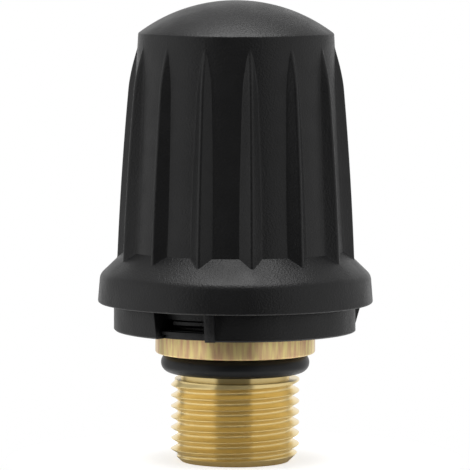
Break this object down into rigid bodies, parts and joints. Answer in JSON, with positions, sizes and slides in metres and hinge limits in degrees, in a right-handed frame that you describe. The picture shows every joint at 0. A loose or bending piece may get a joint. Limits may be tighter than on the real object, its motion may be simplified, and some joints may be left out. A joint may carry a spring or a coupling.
{
  "type": "safety valve cap",
  "caption": "Boiler filler cap: ribbed black grip with a push-to-turn clutch on a threaded brass plug that holds an overpressure relief valve.",
  "frame": {"origin": "centre of the threaded end face of the brass plug, which is also the centre of the bottom of the part's box", "axes": "+Z along the plug's axis towards the dome of the grip, -Y towards the front, which is the side with one rib near its middle and a window of the collar to its left"},
  "size_m": [0.0384, 0.0384, 0.0645],
  "materials": {
    "moulded_black": "satin, fine spark-eroded grain",
    "brass": "turned, bright",
    "steel": "satin",
    "spring_steel": "drawn wire",
    "rubber": "satin"
  },
  "bodies": {
    "plug": {"valve_body": "brass", "body_o_ring": "rubber", "slip_washer": "steel", "retaining_ring": "spring_steel", "clutch_gear": "brass", "gear_nut": "brass", "seat_insert": "steel", "upper_spring_plate": "steel", "adjusting_screw": "brass", "screw_lock_nut": "brass"},
    "relief": {"relief_poppet": "brass", "poppet_seal": "rubber", "lower_spring_plate": "steel", "relief_spring": "spring_steel"},
    "turn_seat": {"thrust_washer": "steel"},
    "grip": {"knob_shell": "moulded_black", "base_collar": "moulded_black", "drive_ring": "steel", "spring_cap": "steel", "knob_spring": "spring_steel"}
  },
  "joints": [
    {"name": "grip_turn", "type": "hinge", "parent": "plug", "child": "turn_seat", "pos_m": [0, 0, 0.028], "axis": [0, 0, 1], "continuous": true},
    {"name": "grip_press", "type": "slide", "parent": "turn_seat", "child": "grip", "axis": [0, 0, 1], "range_m": [-0.0025, 0], "stiffness_N_per_m": 2400, "springref_m": 0.0035, "deforming": ["knob_spring"]},
    {"name": "relief_lift", "type": "slide", "parent": "plug", "child": "relief", "axis": [0, 0, 1], "range_m": [0, 0.001], "stiffness_N_per_m": 3200, "springref_m": -0.002, "deforming": ["relief_spring"]}
  ]
}
